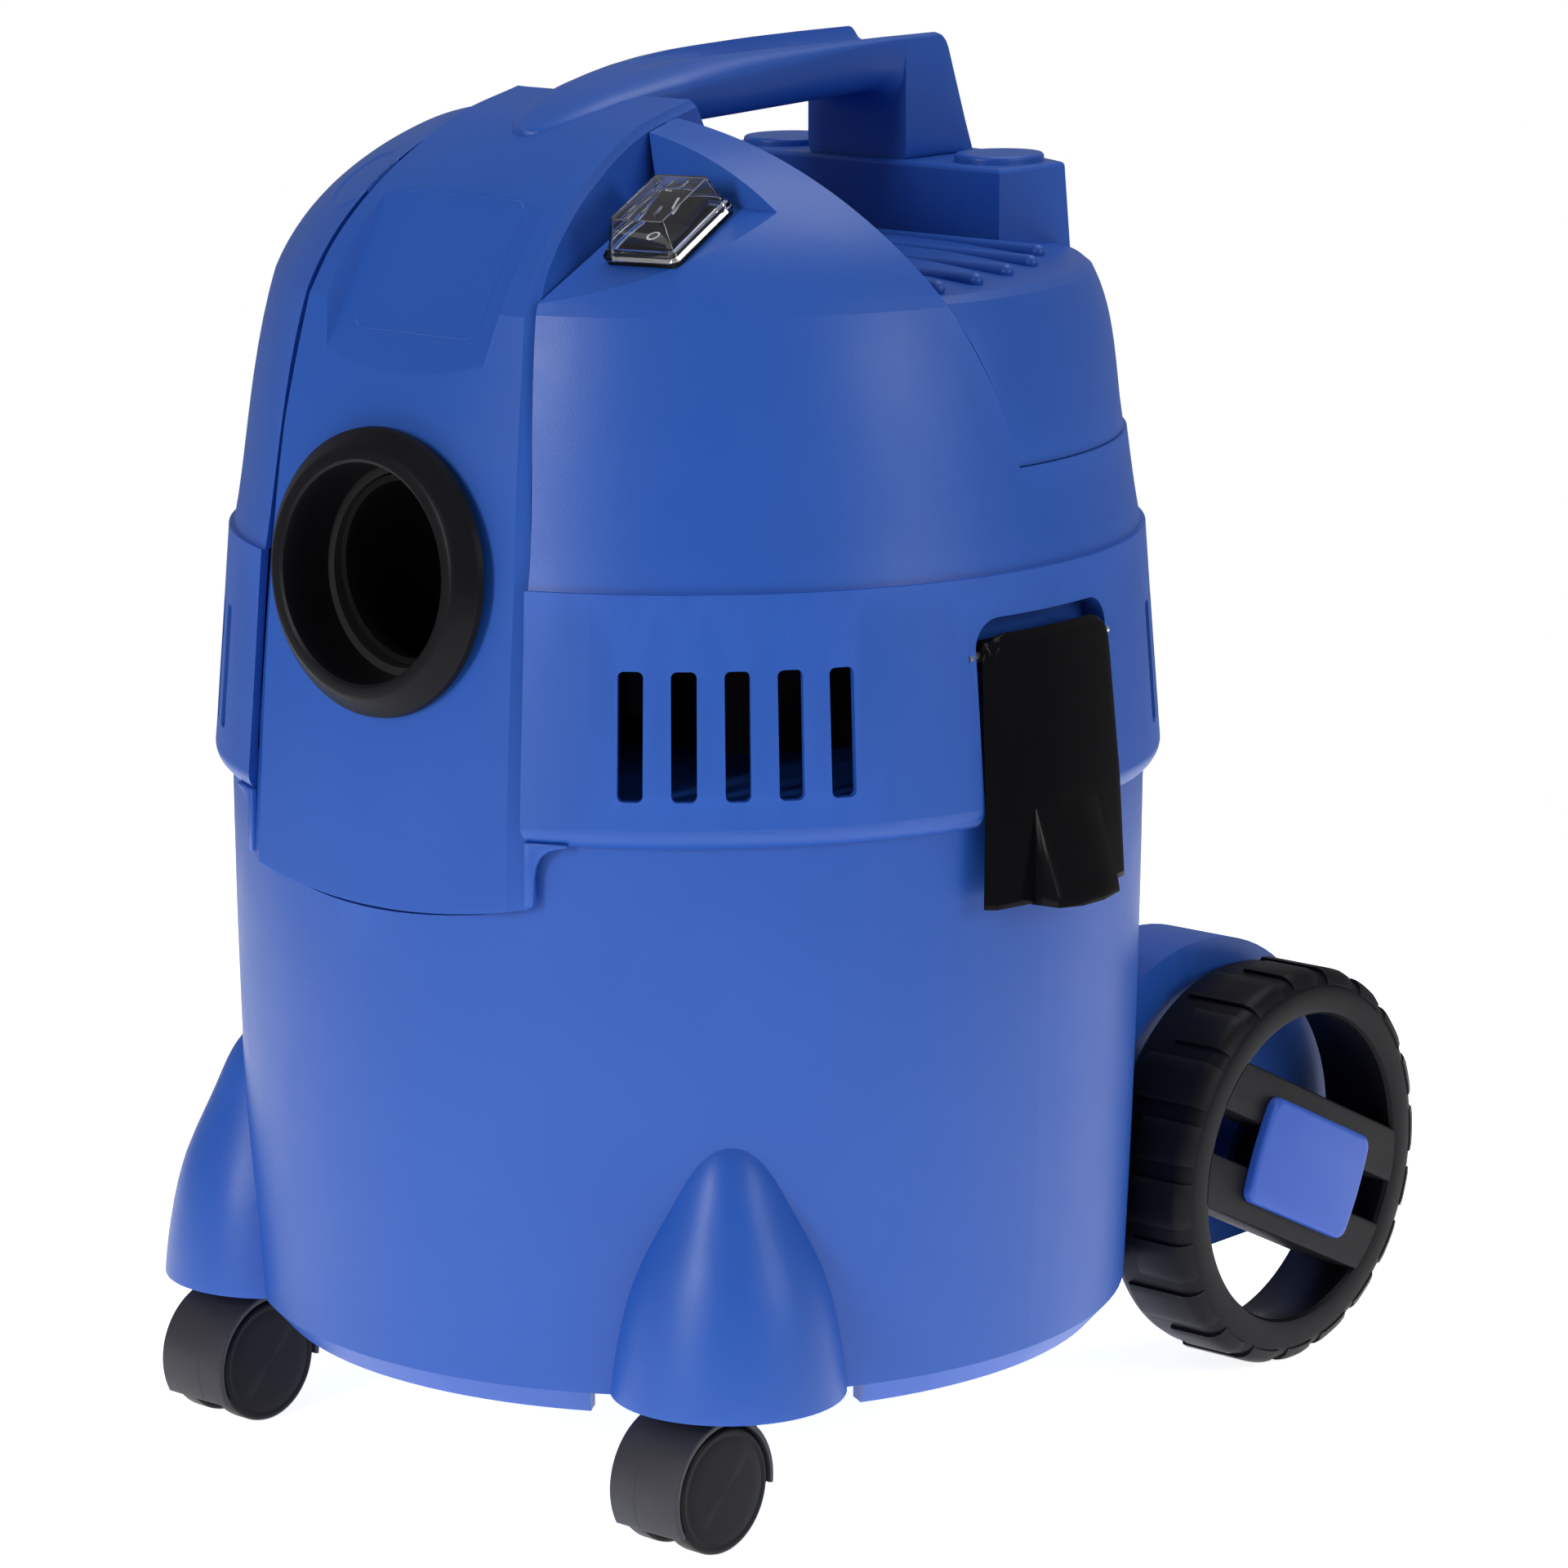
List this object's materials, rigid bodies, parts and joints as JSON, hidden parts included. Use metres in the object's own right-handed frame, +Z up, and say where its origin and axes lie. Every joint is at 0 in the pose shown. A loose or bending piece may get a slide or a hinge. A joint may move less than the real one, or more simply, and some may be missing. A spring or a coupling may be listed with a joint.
{
  "type": "shop vacuum",
  "caption": "Compact wet and dry shop vacuum: round tank on wheels and casters, lift-off motor head with carry handle, side latches, hose inlet, rocker switch, filter and float.",
  "frame": {"origin": "point on the floor under the centre of the whole machine's box", "axes": "+Z up, hose inlet faces -Y, big wheels at +Y, symmetric about X = 0"},
  "size_m": [0.3144, 0.3596, 0.42],
  "materials": {
    "body_blue": "fine textured satin",
    "cap_blue": "satin",
    "ring_black": "satin",
    "latch_black": "glossy",
    "wheel_black": "satin",
    "caster_black": "satin",
    "caster_wheel": "satin",
    "bush_nylon": "satin",
    "steel": "turned",
    "fan_steel": "pressed sheet",
    "core_steel": "laminated",
    "copper": "enamelled wire",
    "armature": "ground",
    "carbon": "carbon",
    "brush_brass": "pressed",
    "motor_plastic": "moulded",
    "rubber": "soft",
    "foam": "open cell foam",
    "inner_black": "moulded",
    "float_white": "moulded",
    "filter_paper": "pleated",
    "switch_black": "satin",
    "clear": "clear boot"
  },
  "bodies": {
    "tank": {"tank": "body_blue", "wheel_axles": "steel", "axle_clips": "steel", "caster_sockets": "bush_nylon"},
    "head": {"tank_gasket": "rubber", "belt_housing": "body_blue", "dome_cover": "body_blue", "front_panel": "body_blue", "rear_deck": "body_blue", "carry_handle": "body_blue", "inlet_ring": "ring_black", "inlet_seal": "rubber", "inlet_elbow": "inner_black", "latch_pins": "steel", "switch_body": "switch_black", "switch_terminals": "copper", "switch_cover": "clear", "cable_gland": "ring_black", "motor_seal": "rubber", "fan_housing": "fan_steel", "fan_diffuser": "fan_steel", "motor_frame": "motor_plastic", "lower_bearing": "steel", "upper_bearing": "steel", "stator_core": "core_steel", "stator_windings": "copper", "carbon_brushes": "carbon", "brush_holders": "brush_brass", "motor_cover": "motor_plastic", "exhaust_foam": "foam", "motor_screws": "steel", "float_cage": "inner_black", "filter_cartridge": "filter_paper", "filter_cap": "inner_black", "filter_rod": "steel", "filter_knob": "inner_black"},
    "rotor": {"armature": "armature", "fan_impeller": "fan_steel", "cooling_fan": "motor_plastic"},
    "float": {"float_ball": "float_white"},
    "rocker": {"switch_rocker": "switch_black"},
    "latch_right": {"latch_right": "latch_black"},
    "rear_wheel_right": {"rear_wheel_right": "wheel_black", "wheel_cap_right": "cap_blue"},
    "caster_right": {"caster_stem_right": "steel", "caster_hood_right": "caster_black", "caster_axle_right": "steel"},
    "caster_right_outer_wheel": {"caster_wheel_outer_right": "caster_wheel"},
    "caster_right_inner_wheel": {"caster_wheel_inner_right": "caster_wheel"},
    "latch_left": {"latch_left": "latch_black"},
    "rear_wheel_left": {"rear_wheel_left": "wheel_black", "wheel_cap_left": "cap_blue"},
    "caster_left": {"caster_stem_left": "steel", "caster_hood_left": "caster_black", "caster_axle_left": "steel"},
    "caster_left_outer_wheel": {"caster_wheel_outer_left": "caster_wheel"},
    "caster_left_inner_wheel": {"caster_wheel_inner_left": "caster_wheel"}
  },
  "joints": [
    {"name": "head_lift", "type": "slide", "parent": "tank", "child": "head", "axis": [0, 0, 1], "range_m": [0, 0.15]},
    {"name": "rotor_spin", "type": "hinge", "parent": "head", "child": "rotor", "pos_m": [0, -0.02679, 0.285], "axis": [0, 0, 1], "continuous": true},
    {"name": "float_rise", "type": "slide", "parent": "head", "child": "float", "axis": [0, 0, 1], "range_m": [0, 0.017]},
    {"name": "rocker_press", "type": "hinge", "parent": "head", "child": "rocker", "pos_m": [0.06203, -0.1132, 0.37551], "axis": [-0.9919, -0.1253, -0.019], "range_deg": [0, 14]},
    {"name": "latch_right_swing", "type": "hinge", "parent": "head", "child": "latch_right", "pos_m": [0.1355, -0.03679, 0.256], "axis": [0, -1, 0], "range_deg": [0, 40]},
    {"name": "rear_wheel_right_spin", "type": "hinge", "parent": "tank", "child": "rear_wheel_right", "pos_m": [0.11, 0.11601, 0.0638], "axis": [1, 0, 0], "continuous": true},
    {"name": "caster_right_swivel", "type": "hinge", "parent": "tank", "child": "caster_right", "pos_m": [0.0937, -0.12499, 0.045], "axis": [0, 0, 1], "continuous": true},
    {"name": "caster_right_outer_wheel_spin", "type": "hinge", "parent": "caster_right", "child": "caster_right_outer_wheel", "pos_m": [0.0937, -0.14099, 0.019], "axis": [1, 0, 0], "continuous": true},
    {"name": "caster_right_inner_wheel_spin", "type": "hinge", "parent": "caster_right", "child": "caster_right_inner_wheel", "pos_m": [0.0937, -0.14099, 0.019], "axis": [1, 0, 0], "continuous": true},
    {"name": "latch_left_swing", "type": "hinge", "parent": "head", "child": "latch_left", "pos_m": [-0.1355, -0.03679, 0.256], "axis": [0, 1, 0], "range_deg": [0, 40]},
    {"name": "rear_wheel_left_spin", "type": "hinge", "parent": "tank", "child": "rear_wheel_left", "pos_m": [-0.11, 0.11601, 0.0638], "axis": [1, 0, 0], "continuous": true},
    {"name": "caster_left_swivel", "type": "hinge", "parent": "tank", "child": "caster_left", "pos_m": [-0.0937, -0.12499, 0.045], "axis": [0, 0, 1], "continuous": true},
    {"name": "caster_left_outer_wheel_spin", "type": "hinge", "parent": "caster_left", "child": "caster_left_outer_wheel", "pos_m": [-0.0937, -0.14099, 0.019], "axis": [1, 0, 0], "continuous": true},
    {"name": "caster_left_inner_wheel_spin", "type": "hinge", "parent": "caster_left", "child": "caster_left_inner_wheel", "pos_m": [-0.0937, -0.14099, 0.019], "axis": [1, 0, 0], "continuous": true}
  ]
}
